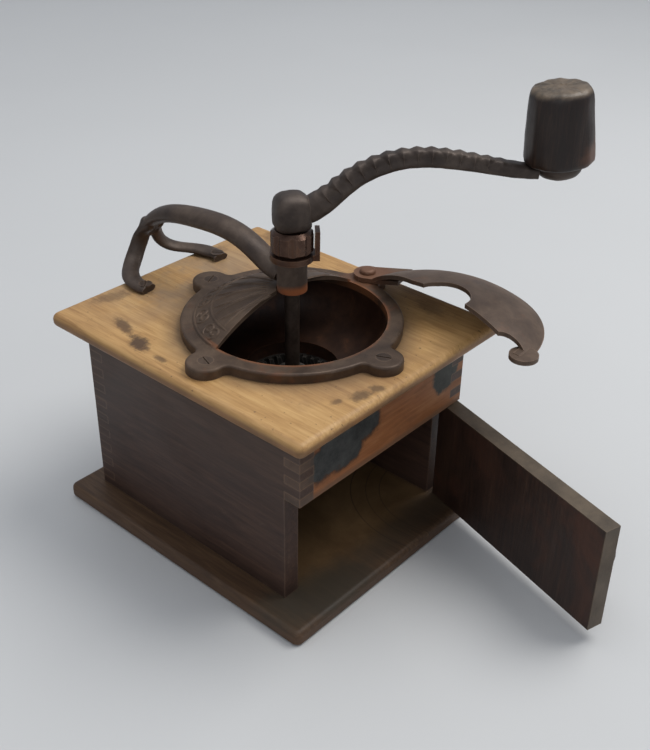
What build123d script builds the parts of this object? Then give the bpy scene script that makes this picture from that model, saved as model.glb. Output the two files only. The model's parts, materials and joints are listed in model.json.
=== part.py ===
"""Antique lap coffee mill: a wooden box with a swinging door, an iron hopper under a half
dome and a swing lid, a conical burr set on a spindle, and a hand crank."""

import math
import os

from build123d import *

os.makedirs("parts", exist_ok=True)

# Frame: origin at the centre of the base board's underside, +Z up, the door faces -Y.

# ---- driving dimensions, millimetres ----
BASE_W = 163.4
BASE_D = 184.9
BASE_T = 8.85
BOX_W = 132.0
BOX_D = 158.5
BOX_H = 106.5
WALL = 10.0
TOP_W = 159.7
TOP_D = 184.7
TOP_T = 8.07
RAIL_H = 41.15
RAIL_FINGERS = 8
BACK_FINGERS = 21

DECK = BASE_T + BOX_H + TOP_T  # upper face of the top board
RAIL_Z = BASE_T + BOX_H - RAIL_H  # underside of the front rail

HOPPER_Y = -12.5  # the spindle stands a little forward of the box's centre
RING_IN = 50.8
RING_OUT = 59.2
RING_H = 5.7
EAR_REACH = 62.5  # distance of each ear's hole from the spindle
EAR_R = 10.3
IRON_T = 2.3  # thickness of the cast covers and of the bowl
FLANGE_T = 1.6
FLANGE_W = 6.2
BOWL_PLAY = 0.3  # bowl in the top board's hole
DOME_CLEAR = 0.3  # swing lid above the ring
COVER_EDGE = 4.0  # front edge of the fixed cover, behind the spindle's axis
LID_EDGE = -1.3  # straight edge of the lid, behind its crown
LID_SKEW = 13.0  # degrees the lid's edge is turned from the cover's edge when closed
LID_GAP = 1.4  # between the closed lid and the fixed cover
LID_OPEN = 73.5  # degrees the lid stands open

SHAFT_R = 4.0
JOURNAL_R = 3.5
RUNNING = 0.08  # radial clearance of a turning fit
BOSS_R = 8.0
BOSS_LOW = 21.6  # heights on the spindle are above the deck
BOSS_TOP = 39.3
COLLAR_T = 3.3
NUT_LOW = 42.8
NUT_TOP = 56.0
HUB_LOW = 57.0
HUB_TOP = 75.2
SHAFT_TOP = 70.0

CRANK_ANGLE = -45.0  # heading of the crank arm, degrees from +X
CRANK_REACH = 132.5
KNOB_BASE = 91.0
KNOB_H = 38.0
KNOB_R_LOW = 17.6
KNOB_R_TOP = 15.2
KNOB_LEAN = 5.5  # degrees towards the spindle
PAD_R = 11.5
PIN_R = 3.0

DOOR_T = 9.5
DOOR_H = 64.2
DOOR_GAP = 0.55  # play under and over the door
PIVOT_X = 62.5
PIVOT_INSET = 2.9  # pivot behind the door's outer face
PIVOT_R = 1.3
DOOR_OPEN = 73.7  # degrees the door stands open
DOOR_KNOB_INSET = 20.0
DOOR_KNOB_R = 11.6
DOOR_KNOB_OUT = 15.5

BURR_TOP = -27.0
BURR_FLANGE_T = 3.5
BURR_R = 28.0
BURR_DEPTH = 24.0
CONE_TEETH = 14

spindle = Axis((0, HOPPER_Y, 0), (0, 0, 1))
profile_plane = Plane.XZ.offset(-HOPPER_Y)  # sketch coordinates: radius, height


def level(height):
    """Plane through the spindle's foot point, at a height above the deck."""
    return Plane((0, HOPPER_Y, DECK + height))


def save(name, piece):
    """Label a finished piece and write it to a STEP file of the same name."""
    piece.label = name
    export_step(piece, f"parts/{name}.step")


def side_plane(station):
    """Plane across the crank arm, from a (reach, height, slope) station."""
    reach, height, slope = station
    heading = math.radians(CRANK_ANGLE)
    tilt = math.radians(slope)
    along = (math.cos(heading) * math.cos(tilt), math.sin(heading) * math.cos(tilt), math.sin(tilt))
    across = (-math.sin(heading), math.cos(heading), 0)
    origin = (reach * math.cos(heading), HOPPER_Y + reach * math.sin(heading), DECK + height)
    return Plane(origin, x_dir=across, z_dir=along)


# ---- wooden box ----
def board(width, depth, thick, bottom, round_low, round_high):
    """A flat board with rounded corners and rounded edges."""
    with BuildPart() as slab:
        with BuildSketch(Plane.XY.offset(bottom)):
            RectangleRounded(width, depth, 4)
        extrude(amount=thick)
        fillet(slab.faces().sort_by(Axis.Z)[-1].edges(), round_high)
        fillet(slab.faces().sort_by(Axis.Z)[0].edges(), round_low)
    return slab.part


def finger_places(count, height, bottom, first):
    """Heights of every second finger of a box joint, starting with the given one."""
    step = height / count
    return [bottom + step * (i + 0.5) for i in range(first, count, 2)]


PANEL_X = (BOX_W - WALL) / 2
FRONT_Y = -BOX_D / 2
BACK_Y = BOX_D / 2
RAIL_T = WALL + 0.4
PANEL_LEN = BOX_D - WALL - RAIL_T
PANEL_Y = (RAIL_T - WALL) / 2
RAIL_STEP = RAIL_H / RAIL_FINGERS
BACK_STEP = BOX_H / BACK_FINGERS
PIVOT_Y = FRONT_Y + PIVOT_INSET
PIVOT_TOP = RAIL_Z + 13
PIVOT_GRIP = 10.0  # length of each pivot pin inside the door

NAIL_R = 1.2
NAIL_HEAD_R = 2.7
NAIL_HEAD_T = 0.9
NAIL_LEN = 26.0
NAIL_PLACES = [(side * PANEL_X, y) for side in (-1, 1) for y in (-50, 5, 60)] + [(-30, 74), (30, 74)]

SCREW_R = 2.0
SCREW_HEAD_R = 4.2
SCREW_LEN = 13.0
SLOT_W = 0.9  # width of a screw's slot
FOOT_HEAD_R = 3.8
EAR_ANGLES = (90, 180, 270)
EAR_PLACES = [(EAR_REACH * math.cos(math.radians(a)), EAR_REACH * math.sin(math.radians(a)))
              for a in EAR_ANGLES]
FOOT_PLACES = [(-27.5, 86.5), (27.5, 86.5)]  # from the spindle
FOOT_T = 4.6

base_slab = board(BASE_W, BASE_D, BASE_T, 0, 2.2, 3.2)
top_slab = board(TOP_W, TOP_D, TOP_T, DECK - TOP_T, 3.4, 3.8)

with BuildPart() as base_board:
    add(base_slab)
    with Locations(*[(x, y, 0) for x, y in NAIL_PLACES]):
        Cylinder(NAIL_R, BASE_T, align=(Align.CENTER, Align.CENTER, Align.MIN), mode=Mode.SUBTRACT)
        Cylinder(NAIL_HEAD_R, NAIL_HEAD_T, align=(Align.CENTER, Align.CENTER, Align.MIN), mode=Mode.SUBTRACT)
    with Locations((PIVOT_X, PIVOT_Y, 0)):
        Cylinder(PIVOT_R, BASE_T, align=(Align.CENTER, Align.CENTER, Align.MIN), mode=Mode.SUBTRACT)
save("base_board", base_board.part)

with BuildPart() as top_board:
    add(top_slab)
    with BuildSketch(level(0)):
        Circle(RING_IN + IRON_T + BOWL_PLAY)
    extrude(amount=-TOP_T, mode=Mode.SUBTRACT)
    with BuildSketch(level(0)):
        with Locations(*EAR_PLACES, *FOOT_PLACES):
            Circle(SCREW_R)
    extrude(amount=-TOP_T, mode=Mode.SUBTRACT)
save("top_board", top_board.part)


def side_panel(side):
    """A side of the box, with its fingers for the back panel and for the front rail."""
    rail_heights = finger_places(RAIL_FINGERS, RAIL_H, RAIL_Z, 1)
    back_heights = finger_places(BACK_FINGERS, BOX_H, BASE_T, 0)
    with BuildPart() as panel:
        with Locations((side * PANEL_X, PANEL_Y, BASE_T + BOX_H / 2)):
            Box(WALL, PANEL_LEN, BOX_H)
        with Locations(*[(side * PANEL_X, FRONT_Y + RAIL_T / 2, z) for z in rail_heights]):
            Box(WALL, RAIL_T, RAIL_STEP)
        with Locations(*[(side * PANEL_X, BACK_Y - WALL / 2, z) for z in back_heights]):
            Box(WALL, WALL, BACK_STEP)
        with Locations(*[(x, y, BASE_T) for x, y in NAIL_PLACES]):
            Cylinder(NAIL_R, NAIL_LEN - BASE_T, align=(Align.CENTER, Align.CENTER, Align.MIN),
                     mode=Mode.SUBTRACT)
        with Locations((PIVOT_X, PIVOT_Y, RAIL_Z)):
            Cylinder(PIVOT_R, PIVOT_TOP - RAIL_Z, align=(Align.CENTER, Align.CENTER, Align.MIN),
                     mode=Mode.SUBTRACT)
        with Locations(*[(x, HOPPER_Y + y, DECK - TOP_T) for x, y in EAR_PLACES]):
            Cylinder(SCREW_R, SCREW_LEN - RING_H - TOP_T + 4, align=(Align.CENTER, Align.CENTER, Align.MAX),
                     mode=Mode.SUBTRACT)
    return panel.part


save("left_panel", side_panel(-1))
save("right_panel", side_panel(1))

with BuildPart() as back_panel:
    with Locations((0, BACK_Y - WALL / 2, BASE_T + BOX_H / 2)):
        Box(BOX_W - 2 * WALL, WALL, BOX_H)
    with Locations(*[(side * PANEL_X, BACK_Y - WALL / 2, z) for side in (-1, 1)
                     for z in finger_places(BACK_FINGERS, BOX_H, BASE_T, 1)]):
        Box(WALL, WALL, BACK_STEP)
    with Locations(*[(x, y, BASE_T) for x, y in NAIL_PLACES]):
        Cylinder(NAIL_R, NAIL_LEN - BASE_T, align=(Align.CENTER, Align.CENTER, Align.MIN),
                 mode=Mode.SUBTRACT)
save("back_panel", back_panel.part)

with BuildPart() as front_rail:
    with Locations((0, FRONT_Y + RAIL_T / 2, RAIL_Z + RAIL_H / 2)):
        Box(BOX_W - 2 * WALL, RAIL_T, RAIL_H)
    with Locations(*[(side * PANEL_X, FRONT_Y + RAIL_T / 2, z) for side in (-1, 1)
                     for z in finger_places(RAIL_FINGERS, RAIL_H, RAIL_Z, 0)]):
        Box(WALL, RAIL_T, RAIL_STEP)
    with Locations((PIVOT_X, PIVOT_Y, RAIL_Z)):
        Cylinder(PIVOT_R, PIVOT_TOP - RAIL_Z, align=(Align.CENTER, Align.CENTER, Align.MIN),
                 mode=Mode.SUBTRACT)
save("front_rail", front_rail.part)

with BuildPart() as base_nails:
    with Locations(*[(x, y, 0) for x, y in NAIL_PLACES]):
        Cylinder(NAIL_HEAD_R, NAIL_HEAD_T, align=(Align.CENTER, Align.CENTER, Align.MIN))
        Cylinder(NAIL_R, NAIL_LEN, align=(Align.CENTER, Align.CENTER, Align.MIN))
save("base_nails", base_nails.part)

# ---- door, hung on two upright pins at its right end ----
DOOR_Z = BASE_T + DOOR_GAP
DOOR_MID_Z = DOOR_Z + DOOR_H / 2
pivot_axis = Axis((PIVOT_X, PIVOT_Y, 0), (0, 0, 1))
knob_x = -BOX_W / 2 + DOOR_KNOB_INSET
knob_axis = Axis((knob_x, FRONT_Y, DOOR_MID_Z), (0, -1, 0))
KNOB_SCREW_R = 1.8
KNOB_SCREW_DEPTH = 7.0


def swung_open(piece):
    """The piece as it stands with the door ajar."""
    return piece.rotate(pivot_axis, DOOR_OPEN)


with BuildPart() as door:
    with Locations((0, FRONT_Y + DOOR_T / 2, DOOR_MID_Z)):
        Box(BOX_W, DOOR_T, DOOR_H)
    hinge_corner = door.edges().filter_by(Axis.Z).sort_by(Axis.X)[-2:].sort_by(Axis.Y)[-1]
    fillet(hinge_corner, 2.2)
    with Locations((PIVOT_X, PIVOT_Y, DOOR_Z)):
        Cylinder(PIVOT_R + RUNNING, PIVOT_GRIP + 1, align=(Align.CENTER, Align.CENTER, Align.MIN),
                 mode=Mode.SUBTRACT)
    with Locations((PIVOT_X, PIVOT_Y, DOOR_Z + DOOR_H)):
        Cylinder(PIVOT_R + RUNNING, PIVOT_GRIP + 1, align=(Align.CENTER, Align.CENTER, Align.MAX),
                 mode=Mode.SUBTRACT)
    with BuildSketch(Plane.XZ.offset(-FRONT_Y)):
        with Locations((knob_x, DOOR_MID_Z)):
            Circle(KNOB_SCREW_R)
    extrude(amount=-KNOB_SCREW_DEPTH, mode=Mode.SUBTRACT)
save("door", swung_open(door.part))

with BuildPart() as door_knob:
    with BuildSketch(Plane((knob_x, FRONT_Y, DOOR_MID_Z), x_dir=(1, 0, 0), z_dir=(0, 0, 1))):
        with BuildLine():
            Polyline((KNOB_SCREW_R, -DOOR_KNOB_OUT), (KNOB_SCREW_R, 0), (6.2, 0), (6.2, -1.4))
            RadiusArc((6.2, -1.4), (6.8, -9.0), -6.5)
            Spline((6.8, -9.0), (DOOR_KNOB_R, -10.6), (9.6, -13.6), (KNOB_SCREW_R, -DOOR_KNOB_OUT))
        make_face()
    revolve(axis=knob_axis)
save("door_knob", swung_open(door_knob.part))

with BuildPart() as door_knob_screw:
    with Locations(Plane((knob_x, FRONT_Y + KNOB_SCREW_DEPTH, DOOR_MID_Z), z_dir=(0, -1, 0))):
        Cylinder(KNOB_SCREW_R, KNOB_SCREW_DEPTH + DOOR_KNOB_OUT,
                 align=(Align.CENTER, Align.CENTER, Align.MIN))
save("door_knob_screw", swung_open(door_knob_screw.part))

with BuildPart() as door_pivot_pins:
    with Locations((PIVOT_X, PIVOT_Y, 0)):
        Cylinder(PIVOT_R, DOOR_Z + PIVOT_GRIP, align=(Align.CENTER, Align.CENTER, Align.MIN))
    with Locations((PIVOT_X, PIVOT_Y, PIVOT_TOP)):
        Cylinder(PIVOT_R, PIVOT_TOP - DOOR_Z - DOOR_H + PIVOT_GRIP,
                 align=(Align.CENTER, Align.CENTER, Align.MAX))
save("door_pivot_pins", door_pivot_pins.part)

# ---- hopper: ring with four ears and the fixed half dome, and the bowl under it ----
DOME_R = 54.0
DOME_CROWN = 23.0
DOME_MID_R = 29.0
DOME_MID_Z = 17.4
LID_CROWN = 25.0
LID_MID_Z = 21.3
LID_RIM_R = 57.6
LID_NOTCH_R = 12.6
LID_NOTCH_AT = (-5.0, -3.0)
LUG_R = 8.0
LUG_T = 2.5
RIVET_R = 2.4
RIVET_HEAD_R = 4.6
THROAT_R = 25.5
BOWL_BEND = RING_IN - THROAT_R - 1.3
BOWL_FLANGE_T = 3.5
BOWL_FLANGE_R = 36.0
BOWL_BOTTOM = BURR_TOP - 2.0
FLANGE_LOW = BOWL_BOTTOM - BOWL_FLANGE_T


def half_dome(rim, foot, middle, crown, edge, hole, keep):
    """Half of a domed shell round the spindle, cut along a straight edge, with a hole for the boss."""
    with BuildPart() as shell:
        with BuildSketch(profile_plane):
            with BuildLine():
                upper = ThreePointArc((rim, DECK + foot), (DOME_MID_R, DECK + middle), (0, DECK + crown))
                lower = ThreePointArc((rim - 1.4 * IRON_T, DECK + foot),
                                      (DOME_MID_R - 0.8, DECK + middle - IRON_T),
                                      (0, DECK + crown - IRON_T))
                Line(upper @ 0, lower @ 0)
                Line(upper @ 1, lower @ 1)
            make_face()
        revolve(axis=spindle)
        split(bisect_by=Plane.XZ.offset(-HOPPER_Y - edge), keep=keep)
        with BuildSketch(level(foot)):
            Circle(hole)
        extrude(amount=2 * DOME_CROWN, mode=Mode.SUBTRACT)
    return shell.part


cover_dome = half_dome(DOME_R, RING_H - 0.8, DOME_MID_Z, DOME_CROWN, COVER_EDGE, BOSS_R + 0.5, Keep.BOTTOM)

with BuildPart() as hopper_top:
    with BuildSketch(level(0)) as ring_outline:
        Circle(RING_OUT)
        with PolarLocations(EAR_REACH, 4):
            Circle(EAR_R)
        fillet(ring_outline.vertices(), 4.0)
    extrude(amount=RING_H)
    fillet(hopper_top.faces().sort_by(Axis.Z)[-1].edges(), 1.4)
    with BuildSketch(level(0)):
        Circle(RING_IN)
    extrude(amount=RING_H, mode=Mode.SUBTRACT)
    with BuildSketch(level(0)):
        Circle(RING_IN + FLANGE_W + 0.4)
    extrude(amount=FLANGE_T, mode=Mode.SUBTRACT)
    add(cover_dome)
    with Locations(*[level(RING_H) * Location((x, y, 0)) for x, y in EAR_PLACES]):
        CounterSinkHole(SCREW_R, SCREW_HEAD_R, depth=RING_H)
    with Locations(level(0) * Location((EAR_REACH, 0, 0))):
        Cylinder(RIVET_R, 3 * RING_H, mode=Mode.SUBTRACT)
        Cone(RIVET_HEAD_R, RIVET_R, 1.6, align=(Align.CENTER, Align.CENTER, Align.MIN), mode=Mode.SUBTRACT)
save("hopper_top", hopper_top.part)

with BuildPart() as ring_screws:
    with Locations(*[level(RING_H) * Location((x, y, 0)) for x, y in EAR_PLACES]):
        Cylinder(SCREW_R, SCREW_LEN, align=(Align.CENTER, Align.CENTER, Align.MAX))
        Cone(SCREW_R, SCREW_HEAD_R, SCREW_HEAD_R - SCREW_R, align=(Align.CENTER, Align.CENTER, Align.MAX))
    for turn, (x, y) in zip((25, 70, 115), EAR_PLACES):
        with Locations(level(RING_H) * Location((x, y, 0), (0, 0, turn))):
            Box(2 * SCREW_HEAD_R, SLOT_W, 1.4, mode=Mode.SUBTRACT)
save("ring_screws", ring_screws.part)

with BuildPart() as hopper_bowl:
    with BuildSketch(profile_plane):
        with BuildLine():
            bend_z = DECK + BURR_TOP + 2 + BOWL_BEND
            mouth = Polyline((RING_IN + FLANGE_W, DECK), (RING_IN + FLANGE_W, DECK + FLANGE_T),
                             (RING_IN, DECK + FLANGE_T), (RING_IN, bend_z))
            inside = JernArc(mouth @ 1, (0, -1), BOWL_BEND, -90)
            throat = Polyline(inside @ 1, (THROAT_R, (inside @ 1).Y), (THROAT_R, DECK + FLANGE_LOW),
                              (BOWL_FLANGE_R, DECK + FLANGE_LOW), (BOWL_FLANGE_R, DECK + BOWL_BOTTOM))
            Spline(throat @ 1, (RING_IN - 1.2, DECK - 13.5), (RING_IN + IRON_T, DECK - 2.5),
                   tangents=[(1, 0.35), (0, 1)])
            Polyline((RING_IN + IRON_T, DECK - 2.5), (RING_IN + IRON_T, DECK),
                     (RING_IN + FLANGE_W, DECK))
        make_face()
    revolve(axis=spindle)
save("hopper_bowl", hopper_bowl.part)

# ---- swing lid: the other half of the dome, turning on a rivet through the right-hand ear ----
lid_axis = Axis((EAR_REACH, HOPPER_Y, 0), (0, 0, 1))
LID_FOOT = RING_H + DOME_CLEAR
TIP_AT = (-52.0, -17.0)
TIP_R = 7.5
SCOOP_AT = (-48.0, -9.5)
SCOOP_R = 9.0
LUG_NECK = [(60.0, LUG_R), (52.0, 1.5), (44.0, -8.0), (52.5, -24.0), (66.0, -7.0), (60.0, LUG_R)]
lid_dome = half_dome(LID_RIM_R, LID_FOOT, LID_MID_Z, LID_CROWN, LID_EDGE, 1, Keep.TOP)
lid_dome = lid_dome.rotate(spindle, LID_SKEW)

with BuildPart() as lid:
    add(lid_dome)
    split(bisect_by=Plane.XZ.offset(-HOPPER_Y - COVER_EDGE + LID_GAP), keep=Keep.TOP)
    with BuildSketch(level(LID_FOOT)):
        with BuildLine():
            Polyline(*LUG_NECK)
        make_face()
        with Locations((EAR_REACH, 0)):
            Circle(LUG_R)
        with Locations(TIP_AT):
            Circle(TIP_R)
    extrude(amount=LUG_T)
    with BuildSketch(level(LID_FOOT - 1)):
        with Locations(LID_NOTCH_AT):
            Circle(LID_NOTCH_R)
        Circle(BOSS_R + 1.5)
        with Locations((EAR_REACH, 0)):
            Circle(RIVET_R + RUNNING)
    extrude(amount=2 * DOME_CROWN, mode=Mode.SUBTRACT)
    with BuildSketch(level(LID_FOOT + LUG_T + 0.4)):
        with Locations(SCOOP_AT):
            Circle(SCOOP_R)
    extrude(amount=2 * DOME_CROWN, mode=Mode.SUBTRACT)
save("lid", lid.part.rotate(lid_axis, LID_OPEN))

with BuildPart() as lid_rivet:
    with Locations(level(0) * Location((EAR_REACH, 0, 0))):
        Cylinder(RIVET_R, LID_FOOT + LUG_T + 0.5, align=(Align.CENTER, Align.CENTER, Align.MIN))
        Cone(RIVET_HEAD_R, RIVET_R, 1.6, align=(Align.CENTER, Align.CENTER, Align.MIN))
    with Locations(level(LID_FOOT + LUG_T + 0.15) * Location((EAR_REACH, 0, 0))):
        Cylinder(RIVET_HEAD_R, 2.2, align=(Align.CENTER, Align.CENTER, Align.MIN))
    fillet(lid_rivet.faces().sort_by(Axis.Z)[-1].edges(), 1.9)
save("lid_rivet", lid_rivet.part)

# ---- bridge handle: boss for the spindle, arm over the deck, forked legs ----
ARM_STATIONS = [  # behind the spindle, height, slope; half width, half thickness
    (6.0, 29.5, 25, 6.6, 6.0),
    (19.0, 32.6, 30, 6.9, 5.5),
    (34.5, 39.2, 14, 7.2, 5.2),
    (56.0, 41.5, -1, 7.4, 5.4),
    (80.5, 38.9, -11, 7.3, 5.2),
    (102.5, 32.2, -28, 7.2, 4.6),
    (114.4, 18.0, -74, 8.2, 3.2),
]
LEG_STATIONS = [  # across, behind the spindle, height; half width, half thickness
    (2.8, 108.5, 28.0, 4.6, 3.4),
    (4.4, 113.4, 20.5, 4.8, 3.0),
    (7.2, 115.1, 13.5, 4.9, 2.7),
    (12.2, 113.9, 7.0, 4.9, 2.6),
    (19.0, 109.3, 3.6, 5.0, 2.5),
    (25.6, 101.3, 2.6, 5.1, 2.5),
    (28.4, 92.3, 2.2, 5.2, 2.5),
    (27.6, 83.7, 2.0, 5.0, 2.4),
]


def arm():
    """The arm that carries the boss, from the boss back to the fork."""
    with BuildPart() as limb:
        for behind, height, slope, half_w, half_t in ARM_STATIONS:
            tilt = math.radians(slope)
            across = Plane((0, HOPPER_Y + behind, DECK + height), x_dir=(1, 0, 0),
                           z_dir=(0, math.cos(tilt), math.sin(tilt)))
            with BuildSketch(across):
                Ellipse(half_w, half_t)
        loft()
    return limb.part


def leg():
    """The right leg of the fork, from the arm's end round to its foot on the deck."""
    points = [Vector(x, HOPPER_Y + y, DECK + z) for x, y, z, _, _ in LEG_STATIONS]
    ahead = points[1:] + [points[-1] * 2 - points[-2]]
    behind = [points[0] * 2 - points[1]] + points[:-1]
    with BuildPart() as limb:
        for i, (_, _, _, half_w, half_t) in enumerate(LEG_STATIONS):
            tangent = (ahead[i] - behind[i]).normalized()
            lay = min(1.0, i / 4)
            inward = Vector(0, -1, 0) * (1 - lay) + Vector(0, 0, 1) * lay
            wide = tangent.cross(inward).normalized()
            with BuildSketch(Plane(points[i], x_dir=wide, z_dir=tangent)):
                Ellipse(half_w, half_t)
        loft()
    return limb.part


arm_piece = arm()
right_leg = leg()

with BuildPart() as bridge_handle:
    add(arm_piece)
    add(right_leg)
    add(right_leg.mirror(Plane.YZ))
    split(bisect_by=level(0), keep=Keep.TOP)
    with BuildSketch(level(BOSS_LOW)):
        Circle(BOSS_R)
    extrude(amount=BOSS_TOP - BOSS_LOW)
    with BuildSketch(level(0)):
        Circle(SHAFT_R + RUNNING)
    extrude(amount=BOSS_TOP, mode=Mode.SUBTRACT)
    with Locations(*[level(FOOT_T) * Location((x, y, 0)) for x, y in FOOT_PLACES]):
        Cylinder(SCREW_R, 2 * FOOT_T, mode=Mode.SUBTRACT)
        Cone(SCREW_R, FOOT_HEAD_R, FOOT_HEAD_R - SCREW_R,
             align=(Align.CENTER, Align.CENTER, Align.MAX), mode=Mode.SUBTRACT)
        Cylinder(FOOT_HEAD_R, 3, align=(Align.CENTER, Align.CENTER, Align.MIN), mode=Mode.SUBTRACT)
save("bridge_handle", bridge_handle.part)

with BuildPart() as handle_screws:
    with Locations(*[level(FOOT_T) * Location((x, y, 0)) for x, y in FOOT_PLACES]):
        Cylinder(SCREW_R, SCREW_LEN - 1, align=(Align.CENTER, Align.CENTER, Align.MAX))
        Cone(SCREW_R, FOOT_HEAD_R, FOOT_HEAD_R - SCREW_R,
             align=(Align.CENTER, Align.CENTER, Align.MAX))
    for turn, (x, y) in zip((40, 130), FOOT_PLACES):
        with Locations(level(FOOT_T) * Location((x, y, 0), (0, 0, turn))):
            Box(2 * SCREW_HEAD_R, SLOT_W, 1.2, mode=Mode.SUBTRACT)
save("handle_screws", handle_screws.part)

# ---- spindle, burrs and adjustment ----
SHAFT_BOTTOM = -60.0
BURR_BOTTOM = FLANGE_LOW - BURR_DEPTH + 5.5
CONE_TOP = BURR_TOP - 1
CONE_BOTTOM = BURR_BOTTOM + 1.5
JOURNAL_TOP = CONE_BOTTOM
CONE_R_TOP = 8.5
CONE_R_LOW = 19.4
BURR_BORE_TOP = 21.4
BURR_BORE_LOW = 20.9
CROSS_PIN_R = 1.25
CROSS_PIN_Z = CONE_BOTTOM + 6
STRAP_T = 4.0
STRAP_W = 12.0
STRAP_REACH = 24.6
STRAP_SCREW_R = 1.6
BURR_SCREW_R = 1.8
BURR_SCREW_REACH = 32.2
FLAT = 3.3  # distance of the spindle's flat from its axis

with BuildPart() as drive_shaft:
    with BuildSketch(level(JOURNAL_TOP)):
        Circle(SHAFT_R)
    extrude(amount=SHAFT_TOP - JOURNAL_TOP)
    with BuildSketch(level(SHAFT_BOTTOM)):
        Circle(JOURNAL_R)
    extrude(amount=JOURNAL_TOP - SHAFT_BOTTOM)
    with BuildSketch(level(BOSS_TOP - 3)):
        with Locations((FLAT + 2, 0)):
            Rectangle(4, 10)
    extrude(amount=HUB_LOW - BOSS_TOP + 3, mode=Mode.SUBTRACT)
    with Locations(level(CROSS_PIN_Z)):
        Cylinder(CROSS_PIN_R, 4 * SHAFT_R, rotation=(90, 0, 0), mode=Mode.SUBTRACT)
save("drive_shaft", drive_shaft.part)

with BuildPart() as grinding_cone:
    with BuildSketch(profile_plane):
        with BuildLine():
            Polyline((SHAFT_R, DECK + CONE_TOP), (CONE_R_TOP, DECK + CONE_TOP),
                     (CONE_R_LOW, DECK + CONE_BOTTOM + 3), (CONE_R_LOW, DECK + CONE_BOTTOM),
                     (SHAFT_R, DECK + CONE_BOTTOM), (SHAFT_R, DECK + CONE_TOP), close=True)
        make_face()
    revolve(axis=spindle)
    with Locations(level((CONE_TOP + CONE_BOTTOM) / 2)):
        with PolarLocations((CONE_R_TOP + CONE_R_LOW) / 2 + 2.2, CONE_TEETH):
            Cylinder(2.1, 60, rotation=(16, 26, 0), mode=Mode.SUBTRACT)
    with Locations(level(CROSS_PIN_Z)):
        Cylinder(CROSS_PIN_R, 3 * CONE_R_LOW, rotation=(90, 0, 0), mode=Mode.SUBTRACT)
save("grinding_cone", grinding_cone.part)

with BuildPart() as cone_pin:
    with Locations(level(CROSS_PIN_Z)):
        Cylinder(CROSS_PIN_R, 2 * CONE_R_TOP + 8, rotation=(90, 0, 0))
save("cone_pin", cone_pin.part)

with BuildPart() as outer_burr:
    with BuildSketch(profile_plane):
        with BuildLine():
            Polyline((BURR_BORE_TOP, DECK + FLANGE_LOW), (BOWL_FLANGE_R, DECK + FLANGE_LOW),
                     (BOWL_FLANGE_R, DECK + FLANGE_LOW - BURR_FLANGE_T),
                     (BURR_R, DECK + FLANGE_LOW - BURR_FLANGE_T),
                     (BURR_R, DECK + BURR_BOTTOM), (BURR_BORE_LOW, DECK + BURR_BOTTOM),
                     (BURR_BORE_TOP, DECK + FLANGE_LOW), close=True)
        make_face()
    revolve(axis=spindle)
    with Locations(level((FLANGE_LOW + BURR_BOTTOM) / 2)):
        with PolarLocations(BURR_BORE_TOP + 1.2, 2 * CONE_TEETH):
            Cylinder(1.7, 60, rotation=(-14, 0, 0), mode=Mode.SUBTRACT)
    with Locations(level(FLANGE_LOW)):
        with PolarLocations(BURR_SCREW_REACH, 3, start_angle=90):
            Cylinder(BURR_SCREW_R, 3 * BURR_FLANGE_T, mode=Mode.SUBTRACT)
    with Locations(level(BURR_BOTTOM)):
        with PolarLocations(STRAP_REACH, 2):
            Cylinder(STRAP_SCREW_R, 16, mode=Mode.SUBTRACT)
save("outer_burr", outer_burr.part)

with BuildPart() as burr_screws:
    with Locations(level(FLANGE_LOW - BURR_FLANGE_T)):
        with PolarLocations(BURR_SCREW_REACH, 3, start_angle=90):
            Cylinder(BURR_SCREW_R, BURR_FLANGE_T, align=(Align.CENTER, Align.CENTER, Align.MIN))
            Cylinder(3.3, 2.0, align=(Align.CENTER, Align.CENTER, Align.MAX))
            Box(SLOT_W, 7, 1.8, mode=Mode.SUBTRACT)
save("burr_screws", burr_screws.part)

with BuildPart() as bottom_strap:
    with BuildSketch(level(BURR_BOTTOM)):
        SlotCenterToCenter(2 * STRAP_REACH, STRAP_W)
        Circle(9)
        with PolarLocations(STRAP_REACH, 2):
            Circle(STRAP_SCREW_R, mode=Mode.SUBTRACT)
        Circle(JOURNAL_R + RUNNING, mode=Mode.SUBTRACT)
    extrude(amount=-STRAP_T)
save("bottom_strap", bottom_strap.part)

with BuildPart() as strap_screws:
    with Locations(level(BURR_BOTTOM - STRAP_T)):
        with PolarLocations(STRAP_REACH, 2):
            Cylinder(STRAP_SCREW_R, STRAP_T + 8, align=(Align.CENTER, Align.CENTER, Align.MIN))
            Cylinder(3.0, 1.8, align=(Align.CENTER, Align.CENTER, Align.MAX))
save("strap_screws", strap_screws.part)

TAB_IN = 11.7
TAB_OUT = 14.2
TAB_W = 8.5
TAB_TOP = 55.6
NUT_R = 11.2
NUT_BEVEL = 2.2
NUT_FLUTES = 8

RING_LOW = BOSS_TOP + 0.1
tab_heading = level(RING_LOW) * Rotation(0, 0, CRANK_ANGLE)

with BuildPart() as lock_ring:
    with BuildSketch(level(RING_LOW)):
        Circle(TAB_IN - 0.2)
        with Locations(Rotation(0, 0, CRANK_ANGLE) * Location((TAB_OUT / 2, 0, 0))):
            Rectangle(TAB_OUT, TAB_W)
        Circle(SHAFT_R + RUNNING, mode=Mode.SUBTRACT)
    extrude(amount=COLLAR_T)
    with Locations(tab_heading * Location(((TAB_IN + TAB_OUT) / 2, 0, 0))):
        Box(TAB_OUT - TAB_IN, TAB_W, TAB_TOP - RING_LOW, align=(Align.CENTER, Align.CENTER, Align.MIN))
    with BuildSketch(level(RING_LOW)):
        with Locations((FLAT + 0.1, 0)):
            Rectangle(1.2, 4.6, align=(Align.MIN, Align.CENTER))
    extrude(amount=COLLAR_T)
save("lock_ring", lock_ring.part)

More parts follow.
